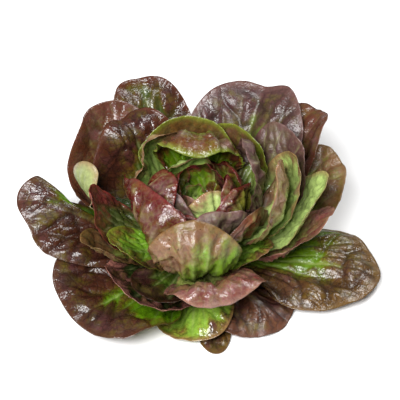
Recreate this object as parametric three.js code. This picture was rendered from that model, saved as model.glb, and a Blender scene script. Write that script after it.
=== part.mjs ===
// A head of red butterhead lettuce, cut and standing on its stem, with its outer leaves laid open.
// Millimetres, +Z up. The origin is the centre of the cut face under the stem. +X is the right and
// +Y the far side of the head as it is usually looked at, a little from above.
//
// Every leaf is a thin closed blade. A leaf is laid out flat as a fan, bent up along its midrib,
// cupped across it, and then draped over the leaves inside it, so that no two blades touch.

import * as THREE from "three";

const DEG = Math.PI / 180;

// The stem: a short cone inside the head, flat where it was cut.
const STEM_FOOT_RADIUS = 20;
const STEM_TOP_RADIUS = 8;
const STEM_HEIGHT = 56;
const STEM_CHAMFER = 1;
const STEM_SIDES = 28;

// The blades.
const LEAF_THICKNESS = 0.8;
const LEAF_TO_STEM = 1.2; // from the stem's skin to a blade's middle surface
const LEAF_GAP = 2.6; // between the middle surfaces of two blades, one draped over the other
const LEAF_GAP_FULL_RADIUS = 60; // the gap narrows nearer to the origin than this
const LEAF_GAP_NARROWEST = 0.5; // share of the gap that is left beside the stem
const FLOOR_CLEARANCE = 1.2; // lowest a blade's middle surface lies
const FLOOR_SOFTNESS = 6; // height over which a blade flattens onto the floor
const MARGIN_WAVE = 1; // height of the waves along a leaf's margin
const MARGIN_WAVES = 6.5; // waves for each radian round the fan
const MARGIN_WAVE_POWER = 3; // how closely the waves keep to the margin

// The flat fan: a narrow foot, a round outline, and how far round the outline reaches.
const FAN_REACH = 122 * DEG;
const FAN_CENTRE = 0.6; // centre of the round outline, as a share of the leaf's length
const FOOT_HALF_WIDTH = 3;
const FOOT_WIDTH_SHARE = 0.11; // added foot half-width, as a share of the blade's half-width
const FAN_BELLY_RIM = 0.3; // share of the outline's width in the bulge of a line from foot to outline
const FAN_BELLY_FOOT = 0.5; // share of the foot's width in that bulge
const FAN_BELLY_ALONG = 0.52; // where that bulge is along the line
const CREST = 0.68; // where along the midrib the curl of the tip begins
const ROLL_RATE = 1.4; // how soon along the leaf its sideways roll is complete
const SPINE_STEPS = 240;

// The draping grid, and the coarser grid of the closed blades.
const FINE_ACROSS = 48;
const FINE_ALONG = 36;
const COARSE_STEP = 6;
const COVER_TURN_BINS = 240;
const COVER_REACH_BIN = 2.5;
const COVER_REACH_BINS = 90;
const DRAPE_PASSES = 3;
const DRAPE_SPREAD = 3;
const DRAPE_SMOOTH = 2;
const DRAPE_SMOOTHINGS = 2;
const COVER_SPREAD = 1;
const DRAPE_NEAREST = 12; // a gap becomes an angle at no less than this distance from the origin
const SPLATS_PER_CELL = 4;

// Leaf colours: red-brown blades, greener toward the heart and the front.
const TONES = {
  brown: 0x6b4634,
  umber: 0x5a3c2c,
  russet: 0x66442f,
  dark: 0x45302a,
  olive: 0x6e5634,
  green: 0x75883c,
  lime: 0x8ea04a,
  purple: 0x6f5651,
  pink: 0x7e4a3a,
  rose: 0x967060,
  rust: 0x735738,
  ember: 0x4a2e20,
  blush: 0x54402c,
  folded: 0x5a5c38,
};
const STEM_TONE = 0xcfd3a6;
const LEAF_ROUGHNESS = 0.5;
const STEM_ROUGHNESS = 0.7;

// The leaves, from the heart outward. Each row: name, tone, then
//   turn    compass direction of the midrib, degrees from +X toward +Y
//   foot    height of the leaf's foot on the stem
//   length  along the midrib
//   half    half the width of the blade
//   rise    slope of the midrib at the foot, the middle and the tip, degrees above level
//   curl    extra turn of the tip, degrees: outward if positive, inward if negative
//   cup     how far each half of the blade turns up, degrees
//   roll    tilt of the whole blade about its midrib, degrees
const LEAVES = [
  ["heart_bud_1", "olive", 100, 48, 24, 11, [80, 92, 100], 0, 60, 0],
  ["heart_bud_2", "rose", 235, 47, 27, 14, [72, 90, 112], 0, 70, 0],
  ["heart_bud_3", "rust", 10, 46, 33, 16, [60, 86, 108], 0, 70, 0],
  ["heart_bud_4", "pink", 168, 45, 50, 22, [44, 82, 150], 0, 75, 0],
  ["heart_bud_5", "lime", 300, 44, 46, 23, [38, 74, 140], 0, 70, 0],
  ["heart_bud_6", "pink", 60, 42, 54, 24, [38, 80, 150], 0, 70, 0],
  ["heart_bud_7", "purple", 220, 41, 52, 24, [28, 70, 150], 0, 70, 0],
  ["heart_bud_8", "pink", 350, 40, 58, 26, [28, 74, 150], 0, 70, 0],
  ["heart_inner_1", "lime", 114, 41, 60, 28, [18, 80, 165], 0, 60, 0],
  ["heart_inner_2", "pink", 40, 41, 60, 26, [16, 74, 165], 0, 60, 0],
  ["heart_inner_3", "pink", 196, 40, 78, 28, [14, 70, 190], 0, 50, 0],
  ["heart_inner_4", "pink", 332, 40, 70, 30, [12, 64, 175], 0, 55, 0],
  ["heart_inner_5", "pink", 258, 39, 60, 24, [10, 58, 175], 0, 55, 0],
  ["heart_inner_6", "pink", 226, 39, 70, 30, [8, 58, 170], 0, 60, 0],
  ["heart_inner_7", "purple", 288, 38, 72, 32, [6, 56, 160], 0, 60, 0],
  ["heart_hood", "rust", 86, 38, 120, 46, [6, 72, 220], 0, 55, 0],
  ["heart_back_left", "lime", 130, 39, 94, 38, [8, 64, 160], 0, 50, 0],
  ["heart_left", "pink", 219, 38, 84, 62, [0, 52, 164], 0, 40, 0],
  ["heart_right", "purple", 20, 37, 96, 38, [8, 60, 150], 0, 60, 0],
  ["heart_front_right", "brown", 308, 36, 72, 38, [6, 54, 150], 0, 55, 0],
  ["heart_front", "olive", 268, 34, 110, 41, [-16, 38, 142], 0, 38, 0],
  ["middle_back", "green", 99, 32, 90, 44, [10, 64, 86], 0, 42, 0],
  ["middle_back_right", "green", 64, 31, 87, 42, [10, 62, 90], 0, 42, 0],
  ["middle_right_front", "lime", 349, 30, 112, 38, [2, 50, 128], 0, 32, 0],
  ["middle_right", "lime", 6, 29, 104, 32, [6, 54, 96], 0, 45, 0],
  ["middle_right_back", "purple", 30, 28, 112, 36, [6, 54, 76], 0, 25, 0],
  ["middle_left_front", "green", 219, 27, 84, 27, [-2, 34, 62], 0, 50, 0],
  ["middle_front", "lime", 322, 27, 60, 26, [-6, 18, 50], 0, 40, 0],
  ["middle_left", "ember", 192, 28, 106, 28, [4, 30, 100], 0, 30, 0],
  ["middle_left_folded", "folded", 167, 29, 106, 34, [8, 22, 28], -160, 6, 42],
  ["middle_left_narrow", "olive", 208, 24, 96, 24, [-2, 32, 48], 0, 55, 0],
  ["middle_right_trough", "lime", 1, 23, 115, 34, [2, 42, 66], 0, 55, 0],
  ["middle_front_flap", "rose", 280, 22, 110, 42, [-4, 37, 70], 150, -8, 0],
  ["middle_back_left", "brown", 127, 22, 122, 38, [4, 52, 90], 110, 40, 0],
  ["middle_front_left", "dark", 253, 20, 91, 34, [-4, 22, 36], 0, 40, 0],
  ["outer_back_right", "purple", 64.5, 19, 149, 56, [4, 42, 60], 20, 25, 0],
  ["outer_right_back", "brown", 43, 18, 155, 38, [2, 46, 86], 90, 30, 0],
  ["middle_right_rim", "rose", 352, 17, 112, 32, [0, 34, 66], 30, 30, -35],
  ["outer_left_back", "brown", 135, 17, 137, 46, [4, 46, 66], 20, 35, 0],
  ["outer_back_left", "brown", 111.5, 15, 153, 39, [4, 43, 64], 20, 45, 0],
  ["middle_left_rim", "blush", 238, 14, 98, 40, [-2, 28, 60], 0, 40, 0],
  ["outer_right", "olive", 23, 13, 134, 40, [0, 34, 56], 50, 25, 0],
  ["outer_left", "umber", 179, 12, 142, 44, [2, 48, 26], 30, 20, -36],
  ["outer_right_front", "olive", 347, 7, 140, 53, [0, 9, 4], 10, -6, 0],
  ["outer_front_left", "umber", 223, 8, 115, 60, [0, 20, 5], 30, 20, 0],
  ["outer_front", "lime", 268, 7, 88, 34, [0, 12, 0], 10, 15, 0],
  ["outer_front_right", "russet", 306, 5, 92, 42, [0, 14, -5], 30, 10, 0],
  ["outer_front_tail", "olive", 278, 3, 97, 15, [0, 6, -6], 20, 10, 0],
  ["lower_back_right", "brown", 76, 9, 124, 46, [2, 34, 36], 30, 20, 0],
  ["lower_back_left", "brown", 118, 8, 122, 42, [2, 32, 34], 30, 20, 0],
  ["lower_right", "brown", 30, 6, 92, 38, [0, 24, 24], 30, 15, 0],
  ["under_back", "brown", 99, 5, 108, 44, [0, 20, 8], 30, 15, 0],
  ["under_back_left", "brown", 142, 4, 104, 38, [0, 14, 5], 30, 15, 0],
  ["under_back_right", "brown", 54, 4, 106, 40, [0, 14, 5], 30, 15, 0],
].map(([name, tone, turn, foot, length, half, rise, curl, cup, roll]) => ({
  name,
  tone,
  turn: turn * DEG,
  foot,
  length,
  half,
  rise: rise.map((slope) => slope * DEG),
  curl: curl * DEG,
  cup: cup * DEG,
  roll: roll * DEG,
}));

const clamp = THREE.MathUtils.clamp;
const lerp = THREE.MathUtils.lerp;
const ease = (x) => THREE.MathUtils.smoothstep(x, 0, 1);

function stemRadius(height) {
  return lerp(STEM_FOOT_RADIUS, STEM_TOP_RADIUS, clamp(height / STEM_HEIGHT, 0, 1));
}

// The fan laid flat: side runs from -1 to 1 across the leaf and out from 0 at the foot to 1 on the
// outline. Returns the distance across and along the leaf, on a curve from the foot to the outline.
function fanPoint(leaf, side, out) {
  const around = side * FAN_REACH;
  const rimAcross = leaf.half * Math.sin(around);
  const rimAlong = leaf.length * (FAN_CENTRE + (1 - FAN_CENTRE) * Math.cos(around));
  const footAcross = (FOOT_HALF_WIDTH + FOOT_WIDTH_SHARE * leaf.half) * side;
  const bellyAcross = FAN_BELLY_RIM * rimAcross + FAN_BELLY_FOOT * footAcross;
  const bellyAlong = FAN_BELLY_ALONG * rimAlong;
  const near = (1 - out) ** 2;
  const mid = 2 * out * (1 - out);
  const far = out ** 2;
  return [
    near * footAcross + mid * bellyAcross + far * rimAcross,
    mid * bellyAlong + far * rimAlong,
    around,
  ];
}

// The midrib's path, as its slope, distance from the axis and height at even steps along the leaf.
function midrib(leaf) {
  const step = leaf.length / SPINE_STEPS;
  const slope = [];
  const radius = [stemRadius(leaf.foot) + LEAF_TO_STEM];
  const height = [leaf.foot];
  for (let i = 0; i <= SPINE_STEPS; i += 1) {
    const s = i / SPINE_STEPS;
    const bend = leaf.rise[0] * (1 - s) ** 2 + 2 * leaf.rise[1] * s * (1 - s) + leaf.rise[2] * s * s;
    slope.push(bend - leaf.curl * ease((s - CREST) / (1 - CREST)));
    if (i > 0) {
      const mean = (slope[i] + slope[i - 1]) / 2;
      radius.push(radius[i - 1] + Math.cos(mean) * step);
      height.push(height[i - 1] + Math.sin(mean) * step);
    }
  }
  return { slope, radius, height };
}

function sample(values, share) {
  const place = clamp(share, 0, 1) * (values.length - 1);
  const low = Math.min(Math.floor(place), values.length - 2);
  return lerp(values[low], values[low + 1], place - low);
}

// A point of the leaf's middle surface before draping: the fan bent along the midrib, cupped and
// rolled across it. Near its foot the leaf clasps the stem, further out it lies straight across.
function leafPoint(leaf, rib, side, out) {
  const [across, along, around] = fanPoint(leaf, side, out);
  const share = along / leaf.length;
  const bend = leaf.cup / leaf.half;
  const wave = MARGIN_WAVE * out ** MARGIN_WAVE_POWER * Math.sin(MARGIN_WAVES * around + leaf.turn);
  const flatX = Math.sin(bend * across) / bend;
  const flatH = (1 - Math.cos(bend * across)) / bend + wave;
  const tilt = leaf.roll * ease(ROLL_RATE * share);
  const x = flatX * Math.cos(tilt) - flatH * Math.sin(tilt);
  const lift = flatX * Math.sin(tilt) + flatH * Math.cos(tilt);
  const slope = sample(rib.slope, share);
  const reach = sample(rib.radius, share) - Math.sin(slope) * lift;
  const height = sample(rib.height, share) + Math.cos(slope) * lift;
  const clasp = (1 - out) ** 2;
  const radius = lerp(Math.hypot(reach, x), Math.abs(reach), clasp);
  const turn = leaf.turn + lerp(Math.atan2(x, reach), x / reach, clasp);
  const low = FLOOR_CLEARANCE + FLOOR_SOFTNESS;
  const settled =
    height > low ? height : FLOOR_CLEARANCE + FLOOR_SOFTNESS * Math.exp((height - low) / FLOOR_SOFTNESS);
  return new THREE.Vector3(radius * Math.cos(turn), radius * Math.sin(turn), settled);
}

// Each value becomes the combination of its neighbours within reach, along one axis of the grid.
function filtered(grid, rows, columns, reach, alongRows, wrap, combine) {
  const result = new Float64Array(grid.length);
  const limit = alongRows ? rows : columns;
  for (let i = 0; i < rows; i += 1) {
    for (let j = 0; j < columns; j += 1) {
      const near = [];
      for (let k = -reach; k <= reach; k += 1) {
        const here = (alongRows ? i : j) + k;
        const kept = wrap ? (here + limit) % limit : clamp(here, 0, limit - 1);
        near.push(alongRows ? grid[kept * columns + j] : grid[i * columns + kept]);
      }
      result[i * columns + j] = combine(near);
    }
  }
  return result;
}

const largest = (values) => Math.max(...values);
const mean = (values) => values.reduce((sum, value) => sum + value, 0) / values.length;

function coverBin(point) {
  const turn = Math.floor((Math.atan2(point.y, point.x) / (2 * Math.PI)) * COVER_TURN_BINS);
  const reach = Math.min(Math.floor(point.length() / COVER_REACH_BIN), COVER_REACH_BINS - 1);
  return ((turn + COVER_TURN_BINS) % COVER_TURN_BINS) * COVER_REACH_BINS + reach;
}

// The lean of a point: its angle from straight up, seen from the origin.
const lean = (point) => Math.atan2(Math.hypot(point.x, point.y), point.z);

function leanTo(point, angle) {
  const turn = Math.atan2(point.y, point.x);
  const reach = point.length();
  const flat = reach * Math.sin(angle);
  return new THREE.Vector3(flat * Math.cos(turn), flat * Math.sin(turn), reach * Math.cos(angle));
}

// Drapes a leaf over those already laid: wherever it would pass through or come too close to them,
// it leans further out by a smoothed amount. cover holds the largest lean so far in each direction.
function drape(points, cover) {
  const rows = FINE_ACROSS + 1;
  const columns = FINE_ALONG + 1;
  let wide = filtered(cover, COVER_TURN_BINS, COVER_REACH_BINS, COVER_SPREAD, true, true, largest);
  wide = filtered(wide, COVER_TURN_BINS, COVER_REACH_BINS, COVER_SPREAD, false, false, largest);
  const below = points.map((point) => wide[coverBin(point)]);
  const wanted = points.map((point, i) => {
    const reach = point.length();
    const gap = LEAF_GAP * clamp(reach / LEAF_GAP_FULL_RADIUS, LEAF_GAP_NARROWEST, 1);
    return below[i] + gap / Math.max(reach, DRAPE_NEAREST) - lean(point);
  });
  let pushed = new Float64Array(points.length);
  for (let pass = 0; pass < DRAPE_PASSES; pass += 1) {
    let push = pushed.map((done, i) => (below[i] < 0 ? 0 : Math.max(0, wanted[i] - done)));
    push = filtered(push, rows, columns, DRAPE_SPREAD, true, false, largest);
    push = filtered(push, rows, columns, DRAPE_SPREAD, false, false, largest);
    for (let repeat = 0; repeat < DRAPE_SMOOTHINGS; repeat += 1) {
      push = filtered(push, rows, columns, DRAPE_SMOOTH, true, false, mean);
      push = filtered(push, rows, columns, DRAPE_SMOOTH, false, false, mean);
    }
    pushed = pushed.map((done, i) => done + push[i]);
  }
  return points.map((point, i) => {
    const moved = leanTo(point, lean(point) + pushed[i]);
    moved.z = Math.max(moved.z, FLOOR_CLEARANCE);
    return moved;
  });
}

// Marks a draped leaf in the cover, at several points inside each cell of its grid.
function markCover(points, cover) {
  const columns = FINE_ALONG + 1;
  const bottom = new THREE.Vector3();
  const top = new THREE.Vector3();
  for (let i = 0; i < FINE_ACROSS * SPLATS_PER_CELL; i += 1) {
    const row = Math.floor(i / SPLATS_PER_CELL);
    const acrossShare = (i % SPLATS_PER_CELL) / (SPLATS_PER_CELL - 1);
    for (let j = 0; j < FINE_ALONG * SPLATS_PER_CELL; j += 1) {
      const column = Math.floor(j / SPLATS_PER_CELL);
      const alongShare = (j % SPLATS_PER_CELL) / (SPLATS_PER_CELL - 1);
      const first = row * columns + column;
      bottom.lerpVectors(points[first], points[first + columns], acrossShare);
      top.lerpVectors(points[first + 1], points[first + columns + 1], acrossShare);
      bottom.lerp(top, alongShare);
      const bin = coverBin(bottom);
      cover[bin] = Math.max(cover[bin], lean(bottom));
    }
  }
}

// The upper side of the middle surface at one point of its grid.
function gridNormal(points, i, j) {
  const columns = FINE_ALONG + 1;
  const at = (row, column) =>
    points[clamp(row, 0, FINE_ACROSS) * columns + clamp(column, 0, FINE_ALONG)];
  const across = new THREE.Vector3().subVectors(at(i + 1, j), at(i - 1, j));
  const along = new THREE.Vector3().subVectors(at(i, j + 1), at(i, j - 1));
  return along.cross(across).normalize();
}

// The closed blade: an upper and a lower sheet on the coarse grid, and a strip round their edge.
function bladeGeometry(points) {
  const rows = FINE_ACROSS / COARSE_STEP + 1;
  const columns = FINE_ALONG / COARSE_STEP + 1;
  const sheet = rows * columns;
  const positions = [];
  for (const offset of [LEAF_THICKNESS / 2, -LEAF_THICKNESS / 2]) {
    for (let i = 0; i < rows; i += 1) {
      for (let j = 0; j < columns; j += 1) {
        const point = points[i * COARSE_STEP * (FINE_ALONG + 1) + j * COARSE_STEP].clone();
        point.addScaledVector(gridNormal(points, i * COARSE_STEP, j * COARSE_STEP), offset);
        positions.push(point.x, point.y, point.z);
      }
    }
  }
  const index = [];
  const quad = (a, b, c, d) => index.push(a, b, c, a, c, d);
  for (let i = 0; i + 1 < rows; i += 1) {
    for (let j = 0; j + 1 < columns; j += 1) {
      const a = i * columns + j;
      quad(a, a + 1, a + columns + 1, a + columns);
      quad(sheet + a, sheet + a + columns, sheet + a + columns + 1, sheet + a + 1);
    }
  }
  const edge = [];
  for (let i = 0; i < rows; i += 1) edge.push(i * columns);
  for (let j = 1; j < columns; j += 1) edge.push((rows - 1) * columns + j);
  for (let i = rows - 2; i >= 0; i -= 1) edge.push(i * columns + columns - 1);
  for (let j = columns - 2; j > 0; j -= 1) edge.push(j);
  edge.forEach((here, k) => {
    const next = edge[(k + 1) % edge.length];
    quad(here, next, sheet + next, sheet + here);
  });
  const geometry = new THREE.BufferGeometry();
  geometry.setAttribute("position", new THREE.Float32BufferAttribute(positions, 3));
  geometry.setIndex(index);
  geometry.computeVertexNormals();
  return geometry;
}

function stemGeometry() {
  const profile = [
    [0, 0],
    [STEM_FOOT_RADIUS - STEM_CHAMFER, 0],
    [stemRadius(STEM_CHAMFER), STEM_CHAMFER],
    [stemRadius(STEM_HEIGHT - STEM_CHAMFER), STEM_HEIGHT - STEM_CHAMFER],
    [STEM_TOP_RADIUS - STEM_CHAMFER, STEM_HEIGHT],
    [0, STEM_HEIGHT],
  ].map(([radius, height]) => new THREE.Vector2(radius, height));
  return new THREE.LatheGeometry(profile, STEM_SIDES).rotateX(Math.PI / 2);
}

function piece(name, geometry, color, roughness) {
  const material = new THREE.MeshStandardMaterial({ color, roughness, metalness: 0 });
  const mesh = new THREE.Mesh(geometry, material);
  mesh.name = name;
  return mesh;
}

const lettuce = new THREE.Group();
lettuce.add(piece("stem", stemGeometry(), STEM_TONE, STEM_ROUGHNESS));

const cover = new Float64Array(COVER_TURN_BINS * COVER_REACH_BINS).fill(-1);
for (const leaf of LEAVES) {
  const rib = midrib(leaf);
  const flat = [];
  for (let i = 0; i <= FINE_ACROSS; i += 1) {
    for (let j = 0; j <= FINE_ALONG; j += 1) {
      flat.push(leafPoint(leaf, rib, (2 * i) / FINE_ACROSS - 1, j / FINE_ALONG));
    }
  }
  const laid = drape(flat, cover);
  markCover(laid, cover);
  lettuce.add(piece(leaf.name, bladeGeometry(laid), TONES[leaf.tone], LEAF_ROUGHNESS));
}

export default lettuce;
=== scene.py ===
"""An open head of red butterhead lettuce: a stem and its crinkled leaves, each a thin closed blade.

Lengths are millimetres until a mesh is written in metres. +Z is up, and the origin is the centre of
the cut face under the stem. A leaf is a fan on a grid of two parameters: side runs from -1 to 1
across it, and out from 0 at its foot to 1 on its outline.
"""
import enum
import functools
import math
from typing import NamedTuple

import bpy
import numpy as np
from bpy.props import FloatProperty, FloatVectorProperty, PointerProperty
from bpy.types import Operator, Panel, PropertyGroup
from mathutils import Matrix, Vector


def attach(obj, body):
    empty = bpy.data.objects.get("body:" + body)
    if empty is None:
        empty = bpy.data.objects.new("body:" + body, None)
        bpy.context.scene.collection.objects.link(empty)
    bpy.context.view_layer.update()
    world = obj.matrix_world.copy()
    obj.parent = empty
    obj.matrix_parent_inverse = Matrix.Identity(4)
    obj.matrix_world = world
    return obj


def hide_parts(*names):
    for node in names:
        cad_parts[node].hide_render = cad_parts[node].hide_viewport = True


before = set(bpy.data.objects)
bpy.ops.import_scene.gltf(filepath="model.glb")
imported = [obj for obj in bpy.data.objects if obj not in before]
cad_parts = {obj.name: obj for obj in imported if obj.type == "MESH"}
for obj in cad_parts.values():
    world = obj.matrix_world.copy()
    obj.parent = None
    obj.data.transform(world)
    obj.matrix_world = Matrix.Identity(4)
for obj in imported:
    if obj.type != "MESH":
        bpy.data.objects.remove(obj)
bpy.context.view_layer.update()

bl_info = {
    "name": "Butterhead Lettuce",
    "version": (1, 0, 0),
    "blender": (4, 5, 0),
    "location": "3D View > Sidebar > Lettuce",
    "description": "Builds an open head of red butterhead lettuce, leaf by leaf",
    "category": "Add Mesh",
}

MM = 0.001
DEG = math.pi / 180
TINY = 1e-9

# The stem. Its profile follows a path from 0 at the middle of the cut to 1 at the middle of the tip.
STEM_FOOT_RADIUS = 20.0
STEM_TOP_RADIUS = 8.0
STEM_HEIGHT = 56.0
STEM_SIDES = 96
STEM_RINGS = 60
STEM_RIBS = 13
STEM_RIB_SHARE = 0.03
STEM_RIB_TWIST = 0.05
STEM_RIB_ONSET = 6
STEM_LOBES = 5
STEM_LOBE_SHARE = 0.015
POLE_SHARE = 0.002
SHOULDER_POWER = 0.8
CUT_END = 0.25
CUT_DIP = 0.6
BROWN_REACH = 1.2
BROWN_SIDE_SHARE = 0.6
BROWN_SIDE_HEIGHT = 3
TIP_START = 0.88
TIP_HEIGHT = 8.0
TIP_GREEN_FROM = 40.0
TIP_PLEATS = 5
TIP_PLEAT_HEIGHT = 6.0
TIP_SWIRL = 4.0

# The flat fan of a leaf. Shares are of its length, its half-width, or the points on its rim and foot.
FAN_REACH = 122 * DEG
FAN_CENTRE = 0.6
FOOT_HALF_WIDTH = 3.0
FOOT_WIDTH_SHARE = 0.11
FAN_BELLY_RIM = 0.3
FAN_BELLY_FOOT = 0.5
FAN_BELLY_ALONG = 0.52

# The bending of a leaf into its place.
CREST = 0.68
ROLL_RATE = 1.4
SPINE_STEPS = 241
LEAF_TO_STEM = 1.2
FLOOR_CLEARANCE = 1.2
FLOOR_SOFTNESS = 6.0
UNDER_CLEARANCE = FLOOR_CLEARANCE / 4

# The bays in the outline, the thickness and the rim. A ramp is where on the way out a change begins, and
# how much further on it is complete.
NOTCH_SIZE = 26
NOTCH_RAMP = (0.45, 0.55)
EDGE_THINNING = 0.8
EDGE_RAMP = (0.85, 0.15)
VEIN_THICKNESS = 0.5
RIM_RAMP = (0.93, 0.07)

# The main veins and the midrib.
MAIN_VEINS = (-0.8, -0.57, -0.36, -0.17, 0.17, 0.36, 0.57, 0.8)
VEIN_WANDER = 0.035
VEIN_WANDER_RATE = 4
VEIN_WANDER_STEP = 3.7
VEIN_HALF_WIDTH = 1.1
VEIN_TAPER = 0.6
VEIN_VALLEY = 4.0
SIDE_VALLEY_SHARE = 0.8
RIB_HALF_WIDTH = 1.9
RIB_END = 1.15
RIB_FADE = 0.6
FOLD_WIDTH = 12.0
FOLD_RATE = 2.5

# The panels between the veins, and the domes, pebbles and wrinkles on them.
PANEL_RATE = 0.75
PANEL_DRIFT = 0.4
PANEL_SLANT = 0.7
DOME_EDGE = 0.5
DOME_MIDDLE = 0.5
DOME_VALLEY_LOSS = 0.7
DOME_RAMP = (0.12, 0.4)
DOME_END_RAMP = (0.82, 0.18)
DOME_END_LOSS = 0.7
PEBBLE_RATE = 2.7
PEBBLE_EDGE = 0.6
PEBBLE_HEIGHT = 0.14
WRINKLE_RATE_ACROSS = 3.1
WRINKLE_RATE_ALONG = 2.3
WRINKLE_SHARPNESS = 4
WRINKLE_DEPTH = 0.22
CREASE_WIDTH = 0.12

# The broad lumps and pleats, and the waves and bend of the margin.
SMALL_LUMP_SHARE = 0.5
LUMP_SHARE = 0.6
LUMP_RATE = 1.5
LUMP_END_RAMP = (0.75, 0.25)
LUMP_END_LOSS = 0.5
PLEAT_SHARE = 0.9
PLEAT_RATE_ACROSS = 3.2
PLEAT_RATE_ALONG = 1.6
WAVE_RATE = 1.5
WAVE_RAMP = (0.5, 0.5)
SMALL_WAVE_SHARE = 0.3
SMALL_WAVE_RATE = 2.4
BEND_BACK_RAMP = (0.78, 0.22)

# The spread of the red over a leaf.
PATCH_SIZE = 23
PATCH_SHIFT = 0.15
SMALL_PATCH_SIZE = 9
SMALL_PATCH_SHARE = 0.6
RIB_GREEN = 0.03
RIB_GREEN_WIDTH = 0.16
GREEN_SIDE_SHIFT = 0.8
DOME_RED = 0.16
VALLEY_GREEN = 0.04
FLUSH_LEAD = 0.16
FLUSH_WIDTH = 0.42
MARGIN_RAMP = (0.86, 0.14)
MARGIN_RED = 0.65
MARGIN_RED_ON_GREEN = 0.2
MARGIN_GREEN_SIDE = 0.7

# Random numbers: the mixing of whole numbers, where a cell's centre may lie in its square, and what each
# size of a leaf counts for in its seed.
HASH_X = 374761393
HASH_Y = 668265263
HASH_SEED = 974711
HASH_MIX = 1274126177
FIRST_SHIFT = 13
LAST_SHIFT = 16
WORD = 0xFFFFFFFF
HALF_WORD = 0xFFFF
CENTRE_MARGIN = 0.15
CENTRE_ROOM = 0.7
TURN_WEIGHT = 7
FOOT_WEIGHT = 131
LENGTH_WEIGHT = 17


class Stream(enum.IntEnum):
    """What is added to a leaf's seed for each of its random features."""

    VEINS = 0
    NOTCHES = 1
    PANELS_ACROSS = 5
    PANELS_ALONG = 6
    PANELS = 7
    LUMPS = 8
    SMALL_LUMPS = 9
    WAVES = 10
    SMALL_WAVES = 11
    PATCHES = 12
    SMALL_PATCHES = 13
    PLEATS = 14
    PEBBLES = 15
    WRINKLES = 16


# The draping of one leaf over the leaves inside it.
GAP_FULL_RADIUS = 60.0
GAP_NARROWEST = 0.5
GAP_NEAREST = 12.0
COVER_TURNS = 240
COVER_REACHES = 90
COVER_REACH_STEP = 2.5
DRAPE_PASSES = 3
DRAPE_SPREAD_SHARE = 0.06
DRAPE_SMOOTH_SHARE = 0.045
SPLATS_PER_CELL = 2

# Points across and along a blade, for each group of leaves.
GRIDS = {
    "heart_bud": (45, 33),
    "heart_inner": (61, 45),
    "heart_hood": (97, 73),
    "heart": (81, 59),
    "middle": (81, 57),
    "outer": (105, 73),
    "lower": (61, 45),
    "under": (61, 45),
}


class Crinkle(NamedTuple):
    """The relief of a group of leaves: size and height of the domes, of the broad lumps and of the waves at
    the margin, depth of the fold along the midrib, and how far the margin bends back."""

    dome_size: float
    dome_height: float
    lump_size: float
    lump_height: float
    wave_size: float
    wave_height: float
    fold_depth: float
    bend_back: float


CRINKLES = {
    "heart_bud": Crinkle(7, 1.6, 9, 2.6, 9, 2.6, 0.5, 0),
    "heart_inner": Crinkle(10, 2.3, 13, 4.0, 12, 4.4, 1.0, 0),
    "heart_hood": Crinkle(11, 3.2, 18, 4.4, 13, 5.0, 1.5, 0),
    "heart": Crinkle(14, 3.8, 20, 4.6, 18, 2.2, 1.5, 0),
    "middle": Crinkle(15, 3.4, 26, 4.2, 24, 1.1, 1.6, 1.5),
    "outer": Crinkle(25, 3.4, 40, 6.0, 26, 1.2, 2.0, 3.0),
    "lower": Crinkle(20, 2.0, 40, 4.0, 22, 1.6, 3.0, 3.0),
    "under": Crinkle(20, 1.6, 40, 2.0, 22, 1.2, 2.0, 0),
}

# The stage, in metres, with the camera's lens and sensor in millimetres.
FLOOR_HALF = 3.0
FLOOR_ROUGHNESS = 0.9
SKY_COLOUR = (1.0, 1.0, 1.0, 1.0)
LIGHT_AIM = (0, 0, 0.05)
KEY_PLACE = (-0.38, -0.72, 0.98)
KEY_SIZE = (0.8, 0.6)
FILL_PLACE = (0.5, 0.45, 0.95)
FILL_SIZE = (0.5, 0.5)
CAMERA_ELEVATION = 42 * DEG
CAMERA_DISTANCE = 0.95
CAMERA_LENS = 105.6
CAMERA_SENSOR = 36.0
CAMERA_TARGET = (0.0024, 0.0, 0.062)


class Leaf(NamedTuple):
    """One leaf: its name and tone, direction of its midrib, height of its foot, length, half-width, slope
    of its midrib at the foot, middle and tip, curl of the tip, cup across, roll about the midrib, where
    along it the red begins, how much later on one side than on the other, and how far its upper face has
    the pale look of the under face, raised on leaves in shade as painted light. Angles are in degrees."""

    name: str
    tone: str
    turn: float
    foot: float
    length: float
    half: float
    rise: tuple
    curl: float
    cup: float
    roll: float
    flush: float
    green_side: float
    dusk: float

    @property
    def group(self):
        """The key of the group's sizes: the name's first word, or two for buds, inner leaves and hood."""
        for inside in ("heart_bud", "heart_inner", "heart_hood"):
            if self.name.startswith(inside):
                return inside
        return self.name.split("_")[0]

    @property
    def seed(self):
        """A number of the leaf's own for its random shapes, from its direction, foot and length."""
        return int(self.turn * TURN_WEIGHT + self.foot * FOOT_WEIGHT + self.length * LENGTH_WEIGHT)
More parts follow.
